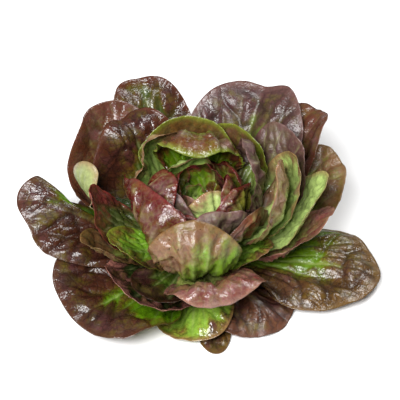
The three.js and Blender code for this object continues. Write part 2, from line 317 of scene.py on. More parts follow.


# The leaves from the heart outward, each draped over those before it.
# In the last column, high values on the buds, inner leaves and other leaves in shade lighten them: painted
# light.
LEAVES = [Leaf(*row) for row in [
    ("heart_bud_1", "olive", 100, 48, 24, 11, (80, 92, 100), 0, 60, 0, 0.8, 0, 1.0),
    ("heart_bud_2", "rose", 235, 47, 27, 14, (72, 90, 112), 0, 70, 0, 0.5, 0, 0.8),
    ("heart_bud_3", "rust", 10, 46, 33, 16, (60, 86, 108), 0, 70, 0, 0.4, 0, 0.5),
    ("heart_bud_4", "pink", 168, 45, 50, 22, (44, 82, 150), 0, 75, 0, 0.8, 0, 1.0),
    ("heart_bud_5", "lime", 300, 44, 46, 23, (38, 74, 140), 0, 70, 0, 0.8, 0, 0),
    ("heart_bud_6", "pink", 60, 42, 54, 24, (38, 80, 150), 0, 70, 0, 0.4, 0.9, 0.2),
    ("heart_bud_7", "purple", 220, 41, 52, 24, (28, 70, 150), 0, 70, 0, 0.5, 0, 0),
    ("heart_bud_8", "pink", 350, 40, 58, 26, (28, 74, 150), 0, 70, 0, 0.5, 0, 0),
    ("heart_inner_1", "lime", 114, 41, 60, 28, (18, 80, 165), 0, 60, 0, 0.85, 0, 0.4),
    ("heart_inner_2", "pink", 40, 41, 60, 26, (16, 74, 165), 0, 60, 0, 0.6, 0, 0.7),
    ("heart_inner_3", "pink", 196, 40, 78, 28, (14, 70, 190), 0, 50, 0, 0.4, 0, 0),
    ("heart_inner_4", "pink", 332, 40, 70, 30, (12, 64, 175), 0, 55, 0, 0.6, 0.4, 1.0),
    ("heart_inner_5", "pink", 258, 39, 60, 24, (10, 58, 175), 0, 55, 0, 0.5, 0, 0),
    ("heart_inner_6", "pink", 226, 39, 70, 30, (8, 58, 170), 0, 60, 0, 0.5, 0, 0),
    ("heart_inner_7", "purple", 288, 38, 72, 32, (6, 56, 160), 0, 60, 0, 0.4, 0, 0),
    ("heart_hood", "rust", 86, 38, 120, 46, (6, 72, 220), 0, 55, 0, 0.6, 0, 0.2),
    ("heart_back_left", "lime", 130, 39, 94, 38, (8, 64, 160), 0, 50, 0, 0.6, 0, 0.5),
    ("heart_left", "pink", 219, 38, 84, 62, (0, 52, 164), 0, 40, 0, 0.5, 0.5, 0),
    ("heart_right", "purple", 20, 37, 96, 38, (8, 60, 150), 0, 60, 0, 0.55, 0, 0.3),
    ("heart_front_right", "brown", 308, 36, 72, 38, (6, 54, 150), 0, 55, 0, 0.45, 0, 1.0),
    ("heart_front", "olive", 268, 34, 110, 41, (-16, 38, 142), 0, 38, 0, 0.55, 0.9, 0),
    ("middle_back", "green", 99, 32, 90, 44, (10, 64, 86), 0, 42, 0, 0.3, 0, 0.3),
    ("middle_back_right", "green", 64, 31, 87, 42, (10, 62, 90), 0, 42, 0, 0.55, -0.6, 0.3),
    ("middle_right_front", "lime", 349, 30, 112, 38, (2, 50, 128), 0, 32, 0, 0.62, -0.3, 0.85),
    ("middle_right", "lime", 6, 29, 104, 32, (6, 54, 96), 0, 45, 0, 0.85, 0, 0.8),
    ("middle_right_back", "purple", 30, 28, 112, 36, (6, 54, 76), 0, 25, 0, 0.5, 0, 0.7),
    ("middle_left_front", "green", 219, 27, 84, 27, (-2, 34, 62), 0, 50, 0, 0.6, -0.4, 0.2),
    ("middle_front", "lime", 322, 27, 60, 26, (-6, 18, 50), 0, 40, 0, 0.9, 0, 0),
    # The dark upper faces of the next two leaves, and of middle_left_rim, are painted shade.
    ("middle_left", "ember", 192, 28, 106, 28, (4, 30, 100), 0, 30, 0, 0.72, 0, 0.1),
    ("middle_left_folded", "folded", 167, 29, 106, 34, (8, 22, 28), -160, 6, 42, 1.1, 0, 0),
    ("middle_left_narrow", "olive", 208, 24, 96, 24, (-2, 32, 48), 0, 55, 0, 0.5, 0, 0.4),
    ("middle_right_trough", "lime", 1, 23, 115, 34, (2, 42, 66), 0, 55, 0, 1.05, 0, 1.0),
    ("middle_front_flap", "rose", 280, 22, 110, 42, (-4, 37, 70), 150, -8, 0, 0.45, -0.35, 0.9),
    ("middle_back_left", "brown", 127, 22, 122, 38, (4, 52, 90), 110, 40, 0, 0.48, 0, 0),
    ("middle_front_left", "dark", 253, 20, 91, 34, (-4, 22, 36), 0, 40, 0, 0.45, 0, 0.15),
    ("outer_back_right", "purple", 64.5, 19, 149, 56, (4, 42, 60), 20, 25, 0, 0.6, -0.3, 0.1),
    ("outer_right_back", "brown", 43, 18, 155, 38, (2, 46, 86), 90, 30, 0, 0.5, 0, 0.45),
    ("middle_right_rim", "rose", 352, 17, 112, 32, (0, 34, 66), 30, 30, -35, 0.5, 0, 1.0),
    ("outer_left_back", "brown", 135, 17, 137, 46, (4, 46, 66), 20, 35, 0, 0.42, 0, 0.45),
    ("outer_back_left", "brown", 111.5, 15, 153, 39, (4, 43, 64), 20, 45, 0, 0.75, 0, 0),
    ("middle_left_rim", "blush", 238, 14, 98, 40, (-2, 28, 60), 0, 40, 0, 0.66, 0, 0),
    ("outer_right", "olive", 23, 13, 134, 40, (0, 34, 56), 50, 25, 0, 0.6, 0, 0.8),
    ("outer_left", "umber", 179, 12, 142, 44, (2, 48, 26), 30, 20, -36, 0.36, -2.2, 0),
    ("outer_right_front", "olive", 347, 7, 140, 53, (0, 9, 4), 10, -6, 0, 0.5, 0.6, 0),
    ("outer_front_left", "umber", 223, 8, 115, 60, (0, 20, 5), 30, 20, 0, 0.44, 1.1, 0),
    ("outer_front", "lime", 268, 7, 88, 34, (0, 12, 0), 10, 15, 0, 0.95, 0, 0),
    ("outer_front_right", "russet", 306, 5, 92, 42, (0, 14, -5), 30, 10, 0, 0.3, -0.3, 0),
    ("outer_front_tail", "olive", 278, 3, 97, 15, (0, 6, -6), 20, 10, 0, 0.4, 0, 0),
    ("lower_back_right", "brown", 76, 9, 124, 46, (2, 34, 36), 30, 20, 0, 0.5, 0, 0),
    ("lower_back_left", "brown", 118, 8, 122, 42, (2, 32, 34), 30, 20, 0, 0.5, 0, 0),
    ("lower_right", "brown", 30, 6, 92, 38, (0, 24, 24), 30, 15, 0, 0.5, 0, 0),
    ("under_back", "brown", 99, 5, 108, 44, (0, 20, 8), 30, 15, 0, 0.5, 0, 0),
    ("under_back_left", "brown", 142, 4, 104, 38, (0, 14, 5), 30, 15, 0, 0.5, 0, 0),
    ("under_back_right", "brown", 54, 4, 106, 40, (0, 14, 5), 30, 15, 0, 0.5, 0, 0),
]]


class Tone(NamedTuple):
    """The colours of one kind of leaf, as sRGB bytes: upper face green, between and red, under face green
    and red, and the rim of both. Last, how much duller than most it is, or glossier if below 0."""

    upper_green: tuple
    upper_between: tuple
    upper_red: tuple
    under_green: tuple
    under_red: tuple
    rim: tuple
    dullness: float


TONES = {
    "brown": Tone(
        (52, 66, 12), (84, 68, 16), (78, 40, 26), (118, 132, 52), (116, 64, 42), (92, 50, 34), -0.05),
    "russet": Tone(
        (80, 112, 14), (94, 76, 16), (94, 54, 32), (118, 132, 52), (116, 64, 42), (96, 58, 38), 0.16),
    "umber": Tone(
        (84, 124, 12), (86, 78, 14), (68, 36, 24), (110, 122, 50), (100, 56, 38), (80, 46, 26), 0),
    "dark": Tone(
        (52, 76, 14), (64, 54, 16), (56, 30, 18), (98, 110, 46), (78, 40, 28), (60, 34, 22), 0),
    "olive": Tone(
        (92, 124, 18), (104, 98, 26), (98, 70, 30), (106, 140, 30), (120, 82, 54), (116, 86, 42), 0),
    "green": Tone(
        (90, 138, 20), (116, 122, 28), (104, 70, 28), (146, 170, 70), (134, 98, 56), (124, 142, 40), -0.06),
    "lime": Tone(
        (136, 174, 60), (144, 158, 54), (126, 88, 48),
        (176, 198, 116), (150, 112, 82), (146, 108, 72), -0.17),
    "purple": Tone(
        (86, 110, 28), (90, 74, 38), (80, 50, 46), (116, 120, 64), (90, 60, 57), (110, 76, 70), 0.1),
    "pink": Tone(
        (92, 134, 16), (104, 60, 26), (88, 26, 28), (118, 118, 38), (84, 22, 18), (112, 34, 32), -0.12),
    "rose": Tone(
        (88, 128, 24), (104, 76, 30), (96, 40, 36), (128, 134, 66), (116, 62, 56), (150, 108, 88), -0.1),
    "rust": Tone(
        (92, 132, 16), (112, 92, 22), (84, 34, 14), (106, 116, 24), (98, 52, 24), (118, 142, 44), -0.14),
    # The dark green and brown upper faces of the ember, blush and folded tones, inside their red rims, are
    # painted shade in the hollows of those leaves.
    "ember": Tone(
        (36, 50, 14), (88, 52, 32), (122, 48, 42), (142, 152, 62), (130, 60, 50), (136, 52, 46), 0),
    "blush": Tone(
        (32, 46, 14), (42, 36, 18), (160, 104, 92), (150, 150, 84), (156, 100, 88), (168, 112, 100), 0),
    "folded": Tone(
        (40, 56, 14), (48, 44, 16), (46, 28, 18), (158, 168, 108), (150, 122, 86), (150, 110, 84), 0),
}
TONE_COLOURS = Tone._fields[:-1]
VEIN_TINT = (186, 190, 128)
PLUM = (84, 50, 54)
MOSS = (90, 80, 18)
# Dark red-brown, for dark patches and veinlets, and for the painted shade in the creases.
DARK_AND_CREASE_SHADE = (36, 17, 14)
BLOOM = (168, 140, 142)
STEM_SKIN = (200, 206, 160)
STEM_CUT = (150, 108, 66)
STEM_TIP = (112, 138, 40)


class Patch(NamedTuple):
    """Patches from noise: how many to a metre, octaves, roughness, the two values of the noise that bound
    them, and what those values become."""

    scale: float
    detail: float
    roughness: float
    low: float
    high: float
    least: float
    most: float


PATCHES = {
    "blotch": Patch(60, 3, 0.5, 0.3, 0.7, -0.2, 0.2),
    "fleck": Patch(420, 4, 0.65, 0.3, 0.7, -0.16, 0.16),
    "plum": Patch(38, 3, 0.5, 0.46, 0.66, 0, 0.7),
    "moss": Patch(72, 4, 0.6, 0.5, 0.68, 0, 0.75),
    "deep": Patch(52, 4, 0.5, 0.5, 0.72, 0, 0.7),
    "bloom": Patch(64, 4, 0.6, 0.48, 0.7, 0, 0.24),
    "grain": Patch(320, 5, 0.7, 0.32, 0.68, 0.76, 1.24),
    "wear": Patch(70, 4, 0.6, 0.35, 0.65, -0.05, 0.17),
    "browning": Patch(160, 4, 0.5, 0.35, 0.7, -0.3, 0.3),
    "growth": Patch(220, 3, 0.5, 0.3, 0.7, 0.7, 1),
    "stem_wear": Patch(240, 3, 0.5, 0.3, 0.7, 0.45, 0.7),
}

# How colours come and go with the flush: its values at both ends, and the shares that they give.
OLIVE_RANGE = (0.08, 0.5, 0, 1)
RED_RANGE = (0.42, 0.92, 0, 1)
UNDER_RED_RANGE = (0.2, 0.95, 0, 1)
# The crease range sets how dark the painted shade in the creases is.
CREASE_SHADE_RANGE = (0.1, 0.6, 0.08, 0.75)
RIB_RANGE = (0.2, 0.8, 0.28, 0.05)

# The strength of the veins, lines and stains above and below, of the rim, and of the stem's browning. The
# lines below are a share of those above.
VEIN_ABOVE = 0.22
VEIN_BELOW = 0.3
LINE_ABOVE = 0.65
LINE_BELOW = 0.12
STAIN_BELOW = 0.55
MOSS_BELOW = 0.4
RIM_SHARE = 0.7
BROWN_SHARE = 0.8

# The skin: how many veinlets to a metre, their widths as shares of a cell, and how they drift; pores and
# pits as noise; bumps as strength and distance in metres; and roughness.
VEINLETS = 150
VEINLET_LINE = 0.1
VEINLET_GROOVE = 0.16
VEINLET_DRIFT = 0.9
VEINLET_DRIFT_RATE = 1.3
SMALL_VEINLETS = 400
SMALL_GROOVE = 0.2
SMALL_GROOVE_DEPTH = 0.4
PORES = (900, 3)
PORE_DEPTH = 0.4
STEM_PITS = (380, 5)
LEAF_BUMP = (0.34, 0.0005)
STEM_BUMP = (0.4, 0.0008)
ROUGHNESS_ABOVE = 0.2
ROUGHNESS_BELOW = 0.33
ROUGHNESS_LEAST = 0.16

# The masks that every leaf's mesh carries, and the kinds of socket.
LEAF_MASKS = ("flush", "vein", "network", "rib", "margin", "under")
COLOUR = "NodeSocketColor"
VALUE = "NodeSocketFloat"

# The numbers of the Mix node's sockets for colours.
MIX_FACTOR = 0
MIX_FIRST = 6
MIX_SECOND = 7
MIX_RESULT = 2


def linear(colour):
    """An sRGB byte colour as the linear colour that Blender's sockets hold, by the standard's own curve."""
    share = np.array(colour) / 255
    low = share / 12.92
    high = ((share + 0.055) / 1.055) ** 2.4
    return tuple(float(x) for x in np.where(share <= 0.04045, low, high))


def ease(x):
    """The smooth step: 0 below 0, 1 above 1, and 3x squared minus 2x cubed between."""
    x = np.clip(x, 0, 1)
    return x * x * (3 - 2 * x)


def ramp(x, start, width):
    """The smooth step that is 0 up to the start and 1 from a width further on."""
    return ease((x - start) / width)


def bell(x):
    """The bell curve: the exponential of minus x squared, which is 1 at 0."""
    return np.exp(-x ** 2)


def stem_radius(height):
    """The cone's radius, falling evenly from foot to top."""
    return STEM_FOOT_RADIUS + (STEM_TOP_RADIUS - STEM_FOOT_RADIUS) * np.clip(height / STEM_HEIGHT, 0, 1)


def cell_random(cell_x, cell_y, seed):
    """A repeatable number from 0 to 1 for each whole-number cell, by mixing the bits of its indices."""
    word = cell_x.astype(np.int64) * HASH_X + cell_y.astype(np.int64) * HASH_Y + seed * HASH_SEED
    word = word & WORD
    word = ((word ^ (word >> FIRST_SHIFT)) * HASH_MIX) & WORD
    return ((word ^ (word >> LAST_SHIFT)) & HALF_WORD) / HALF_WORD


def soft_noise(x, y, seed):
    """Smooth random relief from -1 to 1: random values on whole-number corners, blended by ease."""
    x0 = np.floor(x)
    y0 = np.floor(y)
    fx = ease(x - x0)
    fy = ease(y - y0)
    near = cell_random(x0, y0, seed) * (1 - fx) + cell_random(x0 + 1, y0, seed) * fx
    far = cell_random(x0, y0 + 1, seed) * (1 - fx) + cell_random(x0 + 1, y0 + 1, seed) * fx
    return 2 * (near * (1 - fy) + far * fy) - 1


def cell_edges(x, y, seed):
    """How far each point is from the border of its cell, where each unit square holds one random cell
    centre: the distance to the second nearest centre less that to the nearest."""
    nearest = np.full(x.shape, np.inf)
    second = np.full(x.shape, np.inf)
    for step_x in (-1, 0, 1):
        for step_y in (-1, 0, 1):
            cell_x = np.floor(x) + step_x
            cell_y = np.floor(y) + step_y
            centre_x = cell_x + CENTRE_MARGIN + CENTRE_ROOM * cell_random(cell_x, cell_y, seed)
            centre_y = cell_y + CENTRE_MARGIN + CENTRE_ROOM * cell_random(cell_x, cell_y, seed + 1)
            distance = np.hypot(centre_x - x, centre_y - y)
            second = np.minimum(second, np.maximum(nearest, distance))
            nearest = np.minimum(nearest, distance)
    return second - nearest


def fan(leaf, side, out):
    """The leaf laid flat. Each line of equal side is a quadratic curve in out, from the narrow foot to
    the round outline, by way of a belly point between them. Returns distances across and along."""
    around = side * FAN_REACH
    rim_across = leaf.half * np.sin(around)
    rim_along = leaf.length * (FAN_CENTRE + (1 - FAN_CENTRE) * np.cos(around))
    foot_across = (FOOT_HALF_WIDTH + FOOT_WIDTH_SHARE * leaf.half) * side
    belly_across = FAN_BELLY_RIM * rim_across + FAN_BELLY_FOOT * foot_across
    belly_along = FAN_BELLY_ALONG * rim_along
    near = (1 - out) ** 2
    middle = 2 * out * (1 - out)
    far = out ** 2
    across = near * foot_across + middle * belly_across + far * rim_across
    return across, middle * belly_along + far * rim_along


def bend(leaf, across, along, out):
    """The flat leaf bent into place. The midrib's slope runs through its three given values, less the
    curl past the crest, and adds up to its distance from the axis and its height. Across the midrib the
    blade is an arc of the cup angle, tilted by the roll. At its foot the leaf clasps the stem, and
    where it would go under the floor it flattens onto it."""
    share = np.linspace(0, 1, SPINE_STEPS)
    foot, middle, tip = leaf.rise
    slope = foot * (1 - share) ** 2 + 2 * middle * share * (1 - share) + tip * share ** 2
    slope = (slope - leaf.curl * ramp(share, CREST, 1 - CREST)) * DEG
    step = leaf.length / (SPINE_STEPS - 1)
    between = (slope[1:] + slope[:-1]) / 2
    rib_radius = stem_radius(leaf.foot) + LEAF_TO_STEM + np.append(0, np.cumsum(np.cos(between)) * step)
    rib_height = leaf.foot + np.append(0, np.cumsum(np.sin(between)) * step)
    here = along / leaf.length
    angle = np.interp(here, share, slope)
    curve = leaf.cup * DEG / leaf.half
    flat = np.sin(curve * across) / curve
    lift = (1 - np.cos(curve * across)) / curve
    tilt = leaf.roll * DEG * ease(ROLL_RATE * here)
    sideways = flat * np.cos(tilt) - lift * np.sin(tilt)
    lift = flat * np.sin(tilt) + lift * np.cos(tilt)
    reach = np.interp(here, share, rib_radius) - np.sin(angle) * lift
    height = np.interp(here, share, rib_height) + np.cos(angle) * lift
    clasp = (1 - out) ** 2
    radius = np.hypot(reach, sideways) * (1 - clasp) + np.abs(reach) * clasp
    turn = leaf.turn * DEG + np.arctan2(sideways, reach) * (1 - clasp) + sideways / reach * clasp
    low = FLOOR_CLEARANCE + FLOOR_SOFTNESS
    sunk = FLOOR_CLEARANCE + FLOOR_SOFTNESS * np.exp((np.minimum(height, low) - low) / FLOOR_SOFTNESS)
    height = np.where(height > low, height, sunk)
    return np.stack([radius * np.cos(turn), radius * np.sin(turn), height], -1)


def grid_normals(points):
    """Unit normals on the upper side of a grid of points: along crossed with across."""
    normal = np.cross(np.gradient(points, axis=1), np.gradient(points, axis=0))
    return normal / np.maximum(np.linalg.norm(normal, axis=-1, keepdims=True), TINY)


def spread(values, reach, axis, combine, wrap=False):
    """Each value combined with its neighbours within reach along one axis."""
    pads = [(0, 0), (0, 0)]
    pads[axis] = (reach, reach)
    padded = np.pad(values, pads, mode="wrap" if wrap else "edge")
    size = values.shape[axis]
    shifted = [np.take(padded, range(k, k + size), axis) for k in range(2 * reach + 1)]
    return combine(np.stack(shifted), axis=0)


def cover_bins(turn, reach):
    """The cover's indices for a direction about the axis and a distance from the origin."""
    turn_bin = np.floor(turn / (2 * math.pi) * COVER_TURNS).astype(int) % COVER_TURNS
    return turn_bin, np.minimum((reach / COVER_REACH_STEP).astype(int), COVER_REACHES - 1)


def polar(points):
    """Direction about the axis, distance from the origin, and lean from straight up."""
    x, y, z = np.moveaxis(points, -1, 0)
    flat = np.hypot(x, y)
    return np.arctan2(y, x), np.hypot(flat, z), np.arctan2(flat, z)


def drape(points, cover, gap):
    """Lays a leaf over those inside it. The cover holds the largest lean so far in each direction and at
    each distance. Where the leaf leans less than the cover plus the gap, it leans further out, by an
    amount that is spread and smoothed over its neighbours."""
    turn, reach, lean = polar(points)
    wide = spread(spread(cover, 1, 0, np.max, wrap=True), 1, 1, np.max)
    below = wide[cover_bins(turn, reach)]
    gap_here = gap * np.clip(reach / GAP_FULL_RADIUS, GAP_NARROWEST, 1) / np.maximum(reach, GAP_NEAREST)
    wanted = np.where(below < 0, 0, below + gap_here - lean)
    pushed = np.zeros_like(lean)
    for _ in range(DRAPE_PASSES):
        push = np.maximum(0, wanted - pushed)
        for axis, size in enumerate(lean.shape):
            push = spread(push, round(size * DRAPE_SPREAD_SHARE), axis, np.max)
        for axis, size in (*enumerate(lean.shape), *enumerate(lean.shape)):
            push = spread(push, round(size * DRAPE_SMOOTH_SHARE), axis, np.mean)
        pushed = pushed + push
    lean = lean + pushed
    flat = reach * np.sin(lean)
    height = np.maximum(reach * np.cos(lean), FLOOR_CLEARANCE)
    return np.stack([flat * np.cos(turn), flat * np.sin(turn), height], -1)


def mark_cover(points, cover):
    """Raises the cover to a draped leaf's lean, at several points inside each cell of its grid."""
    for share_i in np.linspace(0, 1, SPLATS_PER_CELL + 1):
        for share_j in np.linspace(0, 1, SPLATS_PER_CELL + 1):
            near = points[:-1] * (1 - share_i) + points[1:] * share_i
            inside = near[:, :-1] * (1 - share_j) + near[:, 1:] * share_j
            turn, reach, lean = polar(inside)
            np.maximum.at(cover, cover_bins(turn, reach), lean)


class Relief(NamedTuple):
    """The height of a leaf's surface over its bent fan, masks for its main veins, for its creases, where
    shade is painted, and for its rib, the shape of its domes, and how near each point is to a vein."""

    height: np.ndarray
    vein: np.ndarray
    network: np.ndarray
    rib: np.ndarray
    dome: np.ndarray
    valley: np.ndarray


def vein_lines(leaf, side, out, width):
    """Bell curves across the midrib and across the main veins, which are wandering lines of equal side and
    grow thinner outward, and wider ones for the valleys round them. Returns rib, main veins and valleys."""
    taper = 1 - VEIN_TAPER * out
    rib = bell(side * width / (RIB_HALF_WIDTH * taper))
    vein = np.zeros_like(out)
    valley = bell(side * width / VEIN_VALLEY)
    for k, place in enumerate(MAIN_VEINS):
        row = np.full_like(out, k * VEIN_WANDER_STEP)
        wander = VEIN_WANDER * soft_noise(out * VEIN_WANDER_RATE, row, leaf.seed + Stream.VEINS)
        distance = (side - place - wander) * width
        vein = np.maximum(vein, bell(distance / (VEIN_HALF_WIDTH * taper)))
        valley = np.maximum(valley, SIDE_VALLEY_SHARE * bell(distance / VEIN_VALLEY))
    return rib, vein, valley


def dome_panels(leaf, across, along, valley):
    """Random cells that slant away from the midrib. A dome rises from each cell's border as one less a
    square, with small pebbles on it, and is lower in the valleys. A wrinkle is a fourth power of one less
    the size of a finer noise. Returns the distance from the border, the domes and the wrinkles."""
    cell = CRINKLES[leaf.group].dome_size
    drift_x = PANEL_DRIFT * soft_noise(across / cell, along / cell, leaf.seed + Stream.PANELS_ACROSS)
    drift_y = PANEL_DRIFT * soft_noise(across / cell, along / cell, leaf.seed + Stream.PANELS_ALONG)
    panel_x = across / cell * PANEL_RATE + drift_x
    panel_y = (along - PANEL_SLANT * np.abs(across)) / cell + drift_y
    edge = cell_edges(panel_x, panel_y, leaf.seed + Stream.PANELS)
    pebble = cell_edges(panel_x * PEBBLE_RATE, panel_y * PEBBLE_RATE, leaf.seed + Stream.PEBBLES)
    dome = 1 - (1 - np.clip(edge / DOME_EDGE, 0, 1)) ** 2
    dome = dome + PEBBLE_HEIGHT * np.clip(pebble / PEBBLE_EDGE, 0, 1)
    fine_x = panel_x * WRINKLE_RATE_ACROSS
    fine_y = panel_y * WRINKLE_RATE_ALONG
    wrinkle = 1 - np.abs(soft_noise(fine_x, fine_y, leaf.seed + Stream.WRINKLES))
    return edge, dome * (1 - DOME_VALLEY_LOSS * valley), wrinkle ** WRINKLE_SHARPNESS


def broad_lumps(leaf, side, out, across, along):
    """Noise at two sizes over the flat leaf, and pleats, which are noise along lines of equal side."""
    size = CRINKLES[leaf.group].lump_size
    lump = soft_noise(across / size, along / size, leaf.seed + Stream.LUMPS)
    small = soft_noise(across / size * 2, along / size * 2, leaf.seed + Stream.SMALL_LUMPS)
    pleat_x = side * leaf.half / size * PLEAT_RATE_ACROSS
    pleat = soft_noise(pleat_x, out * PLEAT_RATE_ALONG, leaf.seed + Stream.PLEATS)
    return LUMP_SHARE * (lump + SMALL_LUMP_SHARE * small) + PLEAT_SHARE * pleat * ease(2 * out)


def margin_waves(leaf, side, out):
    """Noise at two sizes along the outline."""
    ripple = side * FAN_REACH * leaf.half / CRINKLES[leaf.group].wave_size
    wave = soft_noise(ripple, out * WAVE_RATE, leaf.seed + Stream.WAVES)
    small = soft_noise(ripple * SMALL_WAVE_RATE, out * 2, leaf.seed + Stream.SMALL_WAVES)
    return wave + SMALL_WAVE_SHARE * small


def relief(leaf, side, out, across, along, sizes):
    """The crinkles of a blade: the sum of broad lumps, domes and wrinkles between the veins, grooves along
    the veins, waves that grow toward the margin, the fold along the midrib and the bend of the margin."""
    crinkle = CRINKLES[leaf.group]
    width = np.hypot(np.gradient(across, axis=0), np.gradient(along, axis=0)) / np.gradient(side, axis=0)
    rib, vein, valley = vein_lines(leaf, side, out, width)
    edge, dome, wrinkle = dome_panels(leaf, across, along, valley)
    blade = ramp(out, *DOME_RAMP) * (1 - DOME_END_LOSS * ramp(out, *DOME_END_RAMP))
    wave = margin_waves(leaf, side, out)
    fold = np.exp(-np.abs(side * width) / FOLD_WIDTH)
    height = crinkle.lump_height * broad_lumps(leaf, side, out, across, along) * ease(LUMP_RATE * out)
    height = height * (1 - LUMP_END_LOSS * ramp(out, *LUMP_END_RAMP))
    height = height + crinkle.dome_height * (dome - DOME_MIDDLE) * blade
    height = height - WRINKLE_DEPTH * crinkle.dome_height * wrinkle * blade
    height = height - sizes.vein_depth * (vein + rib * (1 - out))
    height = height + crinkle.wave_height * wave * ramp(out, *WAVE_RAMP) ** 2
    height = height - crinkle.fold_depth * fold * ease(FOLD_RATE * out)
    height = height - crinkle.bend_back * ramp(out, *BEND_BACK_RAMP) ** 2
    rib = rib * ease((RIB_END - out) / RIB_FADE)
    # The third mask marks the creases round the domes, which take painted shade.
    return Relief(height * sizes.crinkle, vein, bell(edge / CREASE_WIDTH) * blade, rib, dome, valley)


class Sizes(NamedTuple):
    """The sizes of the leaves that a user may change: four lengths in millimetres and two shares."""

    thickness: float
    gap: float
    vein_depth: float
    rib_thickness: float
    crinkle: float
    notch_share: float


class LaidLeaf(NamedTuple):
    """A leaf in its place: its middle surface, the thickness above and below, and its colour masks."""

    leaf: Leaf
    points: np.ndarray
    above: np.ndarray
    below: np.ndarray
    masks: dict


def flush_mask(leaf, side, out, across, along, shape):
    """Where the red has come through, from 0 to 1: from the leaf's own starting share outward, later on its
    green side, along the midrib and along the veins, sooner on the domes, in uneven patches, and always a
    little toward the margin."""
    uneven = soft_noise(across / PATCH_SIZE, along / PATCH_SIZE, leaf.seed + Stream.PATCHES)
    small_x = across / SMALL_PATCH_SIZE
    small_y = along / SMALL_PATCH_SIZE
    uneven = uneven + SMALL_PATCH_SHARE * soft_noise(small_x, small_y, leaf.seed + Stream.SMALL_PATCHES)
    start = leaf.flush + RIB_GREEN * bell(side / RIB_GREEN_WIDTH) + GREEN_SIDE_SHIFT * leaf.green_side * side
    exposed = DOME_RED * (shape.dome - DOME_MIDDLE) - VALLEY_GREEN * shape.valley
    red = ease((out + PATCH_SHIFT * uneven + exposed - start + FLUSH_LEAD) / FLUSH_WIDTH)
    margin = ramp(out, *MARGIN_RAMP) * (MARGIN_RED if leaf.flush < 1 else MARGIN_RED_ON_GREEN)
    margin = margin * (1 - MARGIN_GREEN_SIDE * np.clip(leaf.green_side * side, 0, 1))
    return np.maximum(red, margin)


def lay_leaf(leaf, cover, sizes):
    """One leaf with its relief, draped over the cover, which it then joins."""
    columns, rows = GRIDS[leaf.group]
    side = np.linspace(-1, 1, columns)[:, None] * np.ones(rows)
    out = np.ones(columns)[:, None] * np.linspace(0, 1, rows)
    arc = side * FAN_REACH * leaf.half
    notch = (1 + soft_noise(arc / NOTCH_SIZE, np.zeros_like(arc), leaf.seed + Stream.NOTCHES)) / 2
    shrunk = out * (1 - sizes.notch_share * notch * ramp(out, *NOTCH_RAMP))
    across, along = fan(leaf, side, shrunk)
    flat = bend(leaf, across, along, shrunk)
    shape = relief(leaf, side, out, across, along, sizes)
    points = drape(flat + grid_normals(flat) * shape.height[..., None], cover, sizes.gap)
    mark_cover(points, cover)
    edge_taper = 1 - EDGE_THINNING * ramp(out, *EDGE_RAMP)
    above = sizes.thickness / 2 * edge_taper
    below = above + sizes.rib_thickness * shape.rib * (1 - out)
    below = below + VEIN_THICKNESS * shape.vein * edge_taper * (1 - out)
    masks = {
        "flush": flush_mask(leaf, side, out, across, along, shape),
        "vein": shape.vein,
        "network": shape.network,
        "rib": shape.rib,
        "margin": ramp(out, *RIM_RAMP),
    }
    return LaidLeaf(leaf, points, above, below, masks)


@functools.lru_cache(maxsize=1)
def lay_head(sizes):
    """Every leaf in its place, laid from the heart outward."""
    cover = np.full((COVER_TURNS, COVER_REACHES), -1.0)
    return {leaf.name: lay_leaf(leaf, cover, sizes) for leaf in LEAVES}


def mesh_object(name, points, faces, masks):
    """A smooth mesh object from millimetre points, four-cornered faces, and masks with a number for each
    point."""
    mesh = bpy.data.meshes.new(name)
    mesh.vertices.add(len(points))
    mesh.vertices.foreach_set("co", (points * MM).astype(np.float32).ravel())
    mesh.loops.add(faces.size)
    mesh.loops.foreach_set("vertex_index", faces.astype(np.int32).ravel())
    mesh.polygons.add(len(faces))
    mesh.polygons.foreach_set("loop_start", np.arange(0, faces.size, faces.shape[1], dtype=np.int32))
    mesh.polygons.foreach_set("use_smooth", np.ones(len(faces), dtype=bool))
    for mask_name, values in masks.items():
        layer = mesh.attributes.new(mask_name, "FLOAT", "POINT")
        layer.data.foreach_set("value", values.astype(np.float32).ravel())
    mesh.update()
    mesh.validate()
    piece = bpy.data.objects.new(name, mesh)
    bpy.context.scene.collection.objects.link(piece)
    return piece


def blade_faces(columns, rows):
    """Faces of a closed blade: the upper sheet, the lower sheet turned over, and the strip round the
    edge, which runs up one side, along the outline and back down to the foot."""
    index = np.arange(columns * rows).reshape(columns, rows)
    corners = [index[:-1, :-1], index[:-1, 1:], index[1:, 1:], index[1:, :-1]]
    upper = np.stack([corner.ravel() for corner in corners], -1)
    lower = upper[:, ::-1] + columns * rows
    edge = np.concatenate([index[:, 0], index[-1, 1:], index[-2::-1, -1], index[0, -2:0:-1]])
    following = np.roll(edge, -1)
    strip = np.stack([edge, following, following + columns * rows, edge + columns * rows], -1)
    return np.concatenate([upper, lower, strip])


def build_leaf(laid, material):
    """The leaf's two sheets, above and below its middle surface, as one closed piece on the frame."""
    normal = grid_normals(laid.points)
    upper = laid.points + normal * laid.above[..., None]
    lower = laid.points - normal * laid.below[..., None]
    lower[..., 2] = np.maximum(lower[..., 2], UNDER_CLEARANCE)
    points = np.concatenate([upper.reshape(-1, 3), lower.reshape(-1, 3)])
    masks = {name: np.tile(values.ravel(), 2) for name, values in laid.masks.items()}
    # The upper sheet takes this share of the paler under colours; on leaves in shade it is painted light.
    masks["under"] = np.repeat([laid.leaf.dusk, 1.0], laid.above.size)
    piece = mesh_object(laid.leaf.name + "_blade", points, blade_faces(*laid.above.shape), masks)
    piece.data.materials.append(material)
    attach(piece, "root")
    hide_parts(laid.leaf.name)


def connect(tree, value, socket):
    """Links a socket to a socket, or sets a plain value on it."""
    if isinstance(value, bpy.types.NodeSocket):
        tree.links.new(value, socket)
    else:
        socket.default_value = value


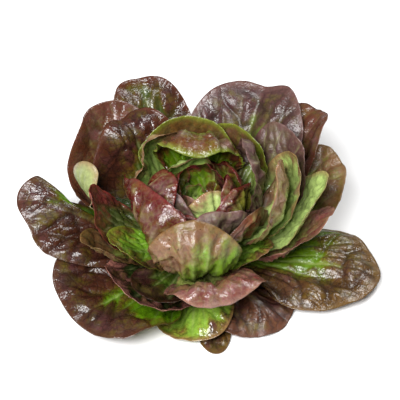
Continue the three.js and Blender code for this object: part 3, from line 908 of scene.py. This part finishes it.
def mix_colour(tree, factor, first, second, blend="MIX"):
    """A colour blended from two, by a factor from 0 to 1."""
    node = tree.nodes.new("ShaderNodeMix")
    node.data_type = "RGBA"
    node.blend_type = blend
    connect(tree, factor, node.inputs[MIX_FACTOR])
    connect(tree, first, node.inputs[MIX_FIRST])
    connect(tree, second, node.inputs[MIX_SECOND])
    return node.outputs[MIX_RESULT]


def maths(tree, operation, first, second, clamp=False):
    """One arithmetic step on two values."""
    node = tree.nodes.new("ShaderNodeMath")
    node.operation = operation
    node.use_clamp = clamp
    connect(tree, first, node.inputs[0])
    connect(tree, second, node.inputs[1])
    return node.outputs[0]


def times(tree, first, second):
    """The product of two values."""
    return maths(tree, "MULTIPLY", first, second)


def map_range(tree, value, low, high, new_low, new_high):
    """A value carried from one range to another, held within it."""
    node = tree.nodes.new("ShaderNodeMapRange")
    connect(tree, value, node.inputs["Value"])
    node.inputs["From Min"].default_value = low
    node.inputs["From Max"].default_value = high
    node.inputs["To Min"].default_value = new_low
    node.inputs["To Max"].default_value = new_high
    return node.outputs["Result"]


def noise(tree, scale, detail, roughness=0.5):
    """Noise from 0 to 1 in object space, with features about one metre over the scale in size."""
    place = tree.nodes.new("ShaderNodeTexCoord")
    node = tree.nodes.new("ShaderNodeTexNoise")
    node.inputs["Scale"].default_value = scale
    node.inputs["Detail"].default_value = detail
    node.inputs["Roughness"].default_value = roughness
    tree.links.new(place.outputs["Object"], node.inputs["Vector"])
    return node.outputs["Fac"]


def patch(tree, name):
    """One kind of patches: its noise, carried from between its bounds to its own range."""
    kind = PATCHES[name]
    fac = noise(tree, kind.scale, kind.detail, kind.roughness)
    return map_range(tree, fac, kind.low, kind.high, kind.least, kind.most)


def bump(tree, height, strength, distance):
    """A surface normal tilted by a height."""
    node = tree.nodes.new("ShaderNodeBump")
    node.inputs["Strength"].default_value = strength
    node.inputs["Distance"].default_value = distance
    tree.links.new(height, node.inputs["Height"])
    return node.outputs["Normal"]


def attribute(tree, name):
    """A named mask of the mesh."""
    node = tree.nodes.new("ShaderNodeAttribute")
    node.attribute_name = name
    return node.outputs["Fac"]


def opaque(colour):
    """A linear colour with full alpha."""
    return (*colour, 1.0)


def shade(colour):
    """An sRGB byte colour as a socket's colour."""
    return opaque(linear(colour))


def label(name):
    """The label of the socket for a field or mask: its words with capitals, and spaces for underscores."""
    return name.replace("_", " ").title()


def new_group(name, inputs, outputs):
    """An empty shader node group with named sockets, and its two end nodes."""
    tree = bpy.data.node_groups.new(name, "ShaderNodeTree")
    for socket, kind in inputs:
        tree.interface.new_socket(socket, in_out="INPUT", socket_type=kind)
    for socket, kind in outputs:
        tree.interface.new_socket(socket, in_out="OUTPUT", socket_type=kind)
    return tree, tree.nodes.new("NodeGroupInput").outputs, tree.nodes.new("NodeGroupOutput").inputs


def veinlets(tree, scale, width):
    """Fine wandering lines from 0 to 1, on the borders of random cells in object space that noise bends."""
    place = tree.nodes.new("ShaderNodeTexCoord")
    drift = tree.nodes.new("ShaderNodeTexNoise")
    drift.inputs["Scale"].default_value = scale * VEINLET_DRIFT_RATE
    tree.links.new(place.outputs["Object"], drift.inputs["Vector"])
    shift = tree.nodes.new("ShaderNodeVectorMath")
    shift.operation = "MULTIPLY_ADD"
    tree.links.new(drift.outputs["Color"], shift.inputs[0])
    shift.inputs[1].default_value = (VEINLET_DRIFT / scale,) * 3
    tree.links.new(place.outputs["Object"], shift.inputs[2])
    cells = tree.nodes.new("ShaderNodeTexVoronoi")
    cells.feature = "DISTANCE_TO_EDGE"
    cells.inputs["Scale"].default_value = scale
    tree.links.new(shift.outputs["Vector"], cells.inputs["Vector"])
    return map_range(tree, cells.outputs["Distance"], 0.0, width, 1.0, 0.0)


@functools.lru_cache(maxsize=1)
def tint_group():
    """Leaf colour from its masks. Above, it runs from green by way of olive to red with the flush, with
    plum, moss and dark patches from noise, painted shade in the creases, dark veinlets, and pale veins
    only where it is green. Below, it is paler, with stains and a bloom where it is red, and pale veins all
    over."""
    inputs = [(label(name), VALUE) for name in LEAF_MASKS]
    inputs += [(label(name), COLOUR) for name in (*TONE_COLOURS, "vein_tint")]
    tree, given, result = new_group("Leaf tint", inputs, [("Color", COLOUR)])
    uneven = maths(tree, "ADD", given["Flush"], patch(tree, "blotch"))
    flush = maths(tree, "ADD", uneven, patch(tree, "fleck"), clamp=True)
    to_olive = map_range(tree, flush, *OLIVE_RANGE)
    to_red = map_range(tree, flush, *RED_RANGE)
    plum = patch(tree, "plum")
    moss = patch(tree, "moss")
    deep = patch(tree, "deep")
    line = times(tree, veinlets(tree, VEINLETS, VEINLET_LINE), LINE_ABOVE)
    vein = times(tree, given["Vein"], VEIN_ABOVE)
    upper = mix_colour(tree, vein, given["Upper Green"], given["Vein Tint"])
    upper = mix_colour(tree, to_olive, upper, given["Upper Between"])
    upper = mix_colour(tree, to_red, upper, given["Upper Red"])
    stains = (
        (times(tree, plum, to_red), PLUM),
        (times(tree, moss, to_olive), MOSS),
        (times(tree, deep, to_red), DARK_AND_CREASE_SHADE),
        # Painted shade in the creases between the domes, darker where the leaf is red.
        (times(tree, given["Network"], map_range(tree, flush, *CREASE_SHADE_RANGE)), DARK_AND_CREASE_SHADE),
        (times(tree, line, to_olive), DARK_AND_CREASE_SHADE),
    )
    for share, stain in stains:
        upper = mix_colour(tree, share, upper, shade(stain))
    under_red = map_range(tree, flush, *UNDER_RED_RANGE)
    under = mix_colour(tree, under_red, given["Under Green"], given["Under Red"])
    dark = times(tree, maths(tree, "ADD", deep, plum), STAIN_BELOW)
    under = mix_colour(tree, times(tree, dark, under_red), under, given["Upper Red"])
    under = mix_colour(tree, times(tree, moss, MOSS_BELOW), under, given["Under Green"])
    under = mix_colour(tree, times(tree, patch(tree, "bloom"), under_red), under, shade(BLOOM))
    ridge = maths(tree, "MAXIMUM", times(tree, given["Vein"], VEIN_BELOW), times(tree, line, LINE_BELOW))
    under = mix_colour(tree, ridge, under, given["Vein Tint"])
    colour = mix_colour(tree, given["Under"], upper, under)
    colour = mix_colour(tree, times(tree, given["Margin"], RIM_SHARE), colour, given["Rim"])
    colour = mix_colour(tree, 1.0, colour, patch(tree, "grain"), "MULTIPLY")
    rib = times(tree, given["Rib"], map_range(tree, flush, *RIB_RANGE))
    tree.links.new(mix_colour(tree, rib, colour, given["Vein Tint"]), result["Color"])
    return tree


@functools.lru_cache(maxsize=1)
def skin_group():
    """Leaf skin: pores less fine veinlets as a bump height, and an uneven roughness, greater underneath."""
    inputs = [("Under", VALUE), ("Dullness", VALUE)]
    tree, given, result = new_group("Leaf skin", inputs, [("Height", VALUE), ("Roughness", VALUE)])
    fine = times(tree, veinlets(tree, SMALL_VEINLETS, SMALL_GROOVE), SMALL_GROOVE_DEPTH)
    grooves = maths(tree, "ADD", veinlets(tree, VEINLETS, VEINLET_GROOVE), fine)
    pores = times(tree, noise(tree, *PORES), PORE_DEPTH)
    tree.links.new(maths(tree, "SUBTRACT", pores, grooves), result["Height"])
    dull = maths(tree, "ADD", patch(tree, "wear"), given["Dullness"])
    base = map_range(tree, given["Under"], 0, 1, ROUGHNESS_ABOVE, ROUGHNESS_BELOW)
    rough = maths(tree, "MAXIMUM", maths(tree, "ADD", base, dull), ROUGHNESS_LEAST)
    tree.links.new(rough, result["Roughness"])
    return tree


def leaf_material(tone_name, shades):
    """A waxy leaf: tinted and glossy above, paler and duller below, with some light passing through."""
    material = bpy.data.materials.new("Leaf " + tone_name)
    material.use_nodes = True
    tree = material.node_tree
    tree.nodes.clear()
    masks = {name: attribute(tree, name) for name in LEAF_MASKS}
    tint = tree.nodes.new("ShaderNodeGroup")
    tint.node_tree = tint_group()
    for name, socket in masks.items():
        tree.links.new(socket, tint.inputs[label(name)])
    tone = TONES[tone_name]
    for name, colour in zip(TONE_COLOURS, tone):
        tint.inputs[label(name)].default_value = shade(colour)
    tint.inputs["Vein Tint"].default_value = opaque(shades.vein_colour)
    skin = tree.nodes.new("ShaderNodeGroup")
    skin.node_tree = skin_group()
    tree.links.new(masks["under"], skin.inputs["Under"])
    skin.inputs["Dullness"].default_value = tone.dullness
    normal = bump(tree, skin.outputs["Height"], *LEAF_BUMP)
    wax = tree.nodes.new("ShaderNodeBsdfPrincipled")
    wax.inputs["Specular IOR Level"].default_value = shades.shine
    tree.links.new(tint.outputs["Color"], wax.inputs["Base Color"])
    tree.links.new(skin.outputs["Roughness"], wax.inputs["Roughness"])
    tree.links.new(normal, wax.inputs["Normal"])
    glow = tree.nodes.new("ShaderNodeBsdfTranslucent")
    tree.links.new(tint.outputs["Color"], glow.inputs["Color"])
    tree.links.new(normal, glow.inputs["Normal"])
    both = tree.nodes.new("ShaderNodeMixShader")
    both.inputs["Fac"].default_value = shades.light_through
    tree.links.new(wax.outputs["BSDF"], both.inputs[1])
    tree.links.new(glow.outputs["BSDF"], both.inputs[2])
    end = tree.nodes.new("ShaderNodeOutputMaterial")
    tree.links.new(both.outputs["Shader"], end.inputs["Surface"])
    return material


def stem_material(shades):
    """Pale fleshy stem: browned in patches on and around the cut, and green toward its growing tip."""
    material = bpy.data.materials.new("Stem flesh")
    material.use_nodes = True
    tree = material.node_tree
    wax = tree.nodes["Principled BSDF"]
    browning = maths(tree, "ADD", attribute(tree, "cut"), patch(tree, "browning"))
    browning = maths(tree, "MULTIPLY", browning, BROWN_SHARE, clamp=True)
    colour = mix_colour(tree, browning, opaque(shades.skin_colour), opaque(shades.cut_colour))
    growth = times(tree, attribute(tree, "tip"), patch(tree, "growth"))
    colour = mix_colour(tree, growth, colour, opaque(shades.tip_colour))
    tree.links.new(colour, wax.inputs["Base Color"])
    tree.links.new(patch(tree, "stem_wear"), wax.inputs["Roughness"])
    tree.links.new(bump(tree, noise(tree, *STEM_PITS), *STEM_BUMP), wax.inputs["Normal"])
    return material


def stem_surface():
    """The stem as a turned profile: out over the cut face, up the ribbed cone and in over its growing
    tip. The radius is multiplied by one plus shallow ribs, the cut is hollowed slightly in its middle, and
    the tip is a dome with spiral pleats. Returns the points and the masks of the cut and of the tip."""
    turn = np.linspace(0, 2 * math.pi, STEM_SIDES, endpoint=False)[:, None]
    path = np.linspace(0, 1, STEM_RINGS)[None, :]
    height = STEM_HEIGHT * np.clip((path - CUT_END) / (TIP_START - CUT_END), 0, 1)
    inward = np.minimum(path / CUT_END, (1 - path) / (1 - TIP_START))
    radius = stem_radius(height) * np.clip(inward, POLE_SHARE, 1) ** SHOULDER_POWER
    ribs = STEM_RIB_SHARE * np.sin(STEM_RIBS * turn + STEM_RIB_TWIST * height)
    ribs = ribs * ease(height / STEM_RIB_ONSET) + STEM_LOBE_SHARE * np.sin(STEM_LOBES * turn)
    radius = radius * (1 + ribs * ease(inward))
    dip = CUT_DIP * ease(1 - path / CUT_END)
    crown = np.where(path > TIP_START, np.clip(inward, 0, 1), 1)
    pleats = TIP_PLEAT_HEIGHT * np.sin(TIP_PLEATS * turn + TIP_SWIRL * crown) * crown * (1 - crown)
    tip = TIP_HEIGHT * (1 - crown ** 2) + pleats
    points = np.stack([radius * np.cos(turn), radius * np.sin(turn), height + dip + tip], -1)
    cut = ease(BROWN_REACH - path / CUT_END) + BROWN_SIDE_SHARE * bell(height / BROWN_SIDE_HEIGHT)
    green = ramp(height, TIP_GREEN_FROM, STEM_HEIGHT - TIP_GREEN_FROM)
    masks = {"cut": np.clip(cut, 0, 1), "tip": green}
    return points, {name: np.repeat(values, STEM_SIDES, axis=0) for name, values in masks.items()}


def cap_faces(ring):
    """A closed ring of points filled by a ladder of faces, each between two points from the ring's first
    half and the two opposite them in its second half."""
    half = len(ring) // 2
    left = ring[:half]
    right = ring[::-1][:half]
    return np.stack([left[:-1], left[1:], right[1:], right[:-1]], -1)


def tube_faces(sides, rings):
    """Faces of a surface that closes round its axis, with a cap over the small ring at each end."""
    index = np.arange(sides * rings).reshape(sides, rings)
    following = np.roll(index, -1, axis=0)
    corners = [index[:, :-1], following[:, :-1], following[:, 1:], index[:, 1:]]
    wall = np.stack([corner.ravel() for corner in corners], -1)
    return np.concatenate([wall, cap_faces(index[::-1, 0]), cap_faces(index[:, -1])])


def leaf_sizes(settings):
    """The user's leaf sizes, with lengths in millimetres."""
    lengths = [getattr(settings, name) / MM for name in ("thickness", "gap", "vein_depth", "rib_thickness")]
    return Sizes(*lengths, settings.crinkle, settings.notch_share)


class LettuceLeafSettings(PropertyGroup):
    """Sizes and colours of the leaves."""

    thickness: FloatProperty(
        name="Thickness", description="Thickness of a blade", default=0.7 * MM, unit="LENGTH")
    gap: FloatProperty(
        name="Gap", description="Room between a leaf and those inside it", default=1.9 * MM, unit="LENGTH")
    vein_depth: FloatProperty(
        name="Veins", description="Depth of the main veins", default=0.5 * MM, unit="LENGTH")
    rib_thickness: FloatProperty(
        name="Rib", description="Thickness of the midrib at the foot", default=2.2 * MM, unit="LENGTH")
    crinkle: FloatProperty(
        name="Crinkle", description="Strength of the lumps, domes and waves", default=1.0, subtype="FACTOR")
    notch_share: FloatProperty(
        name="Notches", description="Depth of the bays in the outline", default=0.07, subtype="FACTOR")
    vein_colour: FloatVectorProperty(
        name="Vein", description="Colour of veins and ribs", default=linear(VEIN_TINT), subtype="COLOR")
    shine: FloatProperty(
        name="Shine", description="Strength of the waxy reflection", default=0.68, subtype="FACTOR")
    light_through: FloatProperty(
        name="Light through", description="Share of light that passes through a blade",
        default=0.24, subtype="FACTOR")


class LettuceStemSettings(PropertyGroup):
    """Colours of the stem."""

    skin_colour: FloatVectorProperty(
        name="Skin", description="Colour of the stem", default=linear(STEM_SKIN), subtype="COLOR")
    cut_colour: FloatVectorProperty(
        name="Cut", description="Colour of the browned cut", default=linear(STEM_CUT), subtype="COLOR")
    tip_colour: FloatVectorProperty(
        name="Tip", description="Colour of the growing tip", default=linear(STEM_TIP), subtype="COLOR")


class LettuceStageSettings(PropertyGroup):
    """The floor and the lights."""

    floor_colour: FloatVectorProperty(
        name="Floor", description="Colour of the floor", default=(0.9, 0.9, 0.9), subtype="COLOR")
    key_power: FloatProperty(
        name="Key light", description="Power of the large light in front", default=30.5, unit="POWER")
    fill_power: FloatProperty(
        name="Fill light", description="Power of the light behind", default=8.0, unit="POWER")
    sky: FloatProperty(
        name="Sky", description="Strength of the even light from all round", default=0.2, subtype="FACTOR")


class LettuceSettings(PropertyGroup):
    """Everything about the lettuce that a user may change."""

    leaves: PointerProperty(
        type=LettuceLeafSettings, name="Leaves", description="Sizes and colours of the leaves")
    stem: PointerProperty(type=LettuceStemSettings, name="Stem", description="Colours of the stem")
    stage: PointerProperty(type=LettuceStageSettings, name="Stage", description="Floor and lights")


def grow_leaves(settings, *groups):
    """Builds every leaf of the named groups, one material for each tone."""
    head = lay_head(leaf_sizes(settings))
    for laid in head.values():
        if laid.leaf.group in groups:
            material_name = "Leaf " + laid.leaf.tone
            material = bpy.data.materials.get(material_name) or leaf_material(laid.leaf.tone, settings)
            build_leaf(laid, material)


class LETTUCE_OT_stem(Operator):
    """Build the stem"""

    bl_idname = "lettuce.stem"
    bl_label = "Stem"

    def execute(self, context):
        points, masks = stem_surface()
        faces = tube_faces(STEM_SIDES, STEM_RINGS)
        piece = mesh_object("stem_flesh", points.reshape(-1, 3), faces, masks)
        piece.data.materials.append(stem_material(context.scene.lettuce.stem))
        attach(piece, "root")
        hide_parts("stem")
        return {"FINISHED"}


class LETTUCE_OT_heart(Operator):
    """Build the bud leaves and the cupped leaves of the heart"""

    bl_idname = "lettuce.heart"
    bl_label = "Heart leaves"

    def execute(self, context):
        grow_leaves(context.scene.lettuce.leaves, "heart_bud", "heart_inner", "heart_hood", "heart")
        return {"FINISHED"}


class LETTUCE_OT_middle(Operator):
    """Build the leaves round the heart"""

    bl_idname = "lettuce.middle"
    bl_label = "Middle leaves"

    def execute(self, context):
        grow_leaves(context.scene.lettuce.leaves, "middle")
        return {"FINISHED"}


class LETTUCE_OT_outer(Operator):
    """Build the large open leaves"""

    bl_idname = "lettuce.outer"
    bl_label = "Outer leaves"

    def execute(self, context):
        grow_leaves(context.scene.lettuce.leaves, "outer")
        return {"FINISHED"}


class LETTUCE_OT_lower(Operator):
    """Build the low leaves at the back of the head"""

    bl_idname = "lettuce.lower"
    bl_label = "Lower leaves"

    def execute(self, context):
        grow_leaves(context.scene.lettuce.leaves, "lower", "under")
        return {"FINISHED"}


def lay_floor(colour):
    """A flat square floor of one colour."""
    corners = [(x * FLOOR_HALF, y * FLOOR_HALF, 0) for x, y in ((-1, -1), (1, -1), (1, 1), (-1, 1))]
    mesh = bpy.data.meshes.new("floor")
    mesh.from_pydata(corners, [], [(0, 1, 2, 3)])
    paint = bpy.data.materials.new("Floor paint")
    paint.use_nodes = True
    surface = paint.node_tree.nodes["Principled BSDF"].inputs
    surface["Base Color"].default_value = opaque(colour)
    surface["Roughness"].default_value = FLOOR_ROUGHNESS
    mesh.materials.append(paint)
    floor = bpy.data.objects.new("floor", mesh)
    bpy.context.scene.collection.objects.link(floor)


def light_sky(strength):
    """An even white light from all round."""
    world = bpy.data.worlds.new("Even sky")
    world.use_nodes = True
    background = world.node_tree.nodes["Background"].inputs
    background["Color"].default_value = SKY_COLOUR
    background["Strength"].default_value = strength
    bpy.context.scene.world = world


def area_light(name, place, size, power):
    """An oval light at a place, turned to face the head. Its size is its two widths."""
    data = bpy.data.lights.new(name, "AREA")
    data.shape = "ELLIPSE"
    data.size, data.size_y = size
    data.energy = power
    lamp = bpy.data.objects.new(name, data)
    lamp.location = place
    lamp.rotation_euler = (Vector(LIGHT_AIM) - Vector(place)).to_track_quat("-Z", "Y").to_euler()
    bpy.context.scene.collection.objects.link(lamp)


def aim_camera():
    """The camera, at its distance from the target and its elevation, looking back along that line."""
    camera = bpy.data.cameras.new("camera")
    camera.lens = CAMERA_LENS
    camera.sensor_width = CAMERA_SENSOR
    eye = bpy.data.objects.new("camera", camera)
    back = CAMERA_DISTANCE * math.cos(CAMERA_ELEVATION)
    up = CAMERA_DISTANCE * math.sin(CAMERA_ELEVATION)
    eye.location = Vector(CAMERA_TARGET) + Vector((0, -back, up))
    eye.rotation_euler = (math.pi / 2 - CAMERA_ELEVATION, 0, 0)
    bpy.context.scene.collection.objects.link(eye)
    bpy.context.scene.camera = eye


class LETTUCE_OT_stage(Operator):
    """Build the floor, the lights and the camera"""

    bl_idname = "lettuce.stage"
    bl_label = "Stage"

    def execute(self, context):
        settings = context.scene.lettuce.stage
        lay_floor(settings.floor_colour)
        light_sky(settings.sky)
        area_light("key", KEY_PLACE, KEY_SIZE, settings.key_power)
        area_light("fill", FILL_PLACE, FILL_SIZE, settings.fill_power)
        aim_camera()
        context.scene.view_settings.view_transform = "Standard"
        return {"FINISHED"}


OPERATORS = (
    LETTUCE_OT_stem, LETTUCE_OT_heart, LETTUCE_OT_middle,
    LETTUCE_OT_outer, LETTUCE_OT_lower, LETTUCE_OT_stage,
)


class LETTUCE_PT_panel(Panel):
    """The lettuce's settings and its build steps"""

    bl_idname = "LETTUCE_PT_panel"
    bl_label = "Lettuce"
    bl_space_type = "VIEW_3D"
    bl_region_type = "UI"
    bl_category = "Lettuce"

    def draw(self, context):
        settings = context.scene.lettuce
        for group in (settings.leaves, settings.stem, settings.stage):
            box = self.layout.box()
            for name in group.__annotations__:
                box.prop(group, name)
        for operator in OPERATORS:
            self.layout.operator(operator.bl_idname)


CLASSES = (
    LettuceLeafSettings, LettuceStemSettings, LettuceStageSettings, LettuceSettings,
    *OPERATORS, LETTUCE_PT_panel,
)


def register():
    """Registers the classes and gives the scene its settings."""
    for cls in CLASSES:
        bpy.utils.register_class(cls)
    bpy.types.Scene.lettuce = PointerProperty(type=LettuceSettings)


def unregister():
    """Takes the settings and the classes away again."""
    del bpy.types.Scene.lettuce
    for cls in reversed(CLASSES):
        bpy.utils.unregister_class(cls)


def main():
    """Builds the head in order."""
    register()
    bpy.ops.lettuce.stem()
    bpy.ops.lettuce.heart()
    bpy.ops.lettuce.middle()
    bpy.ops.lettuce.outer()
    bpy.ops.lettuce.lower()
    bpy.ops.lettuce.stage()


if __name__ == "__main__":
    main()
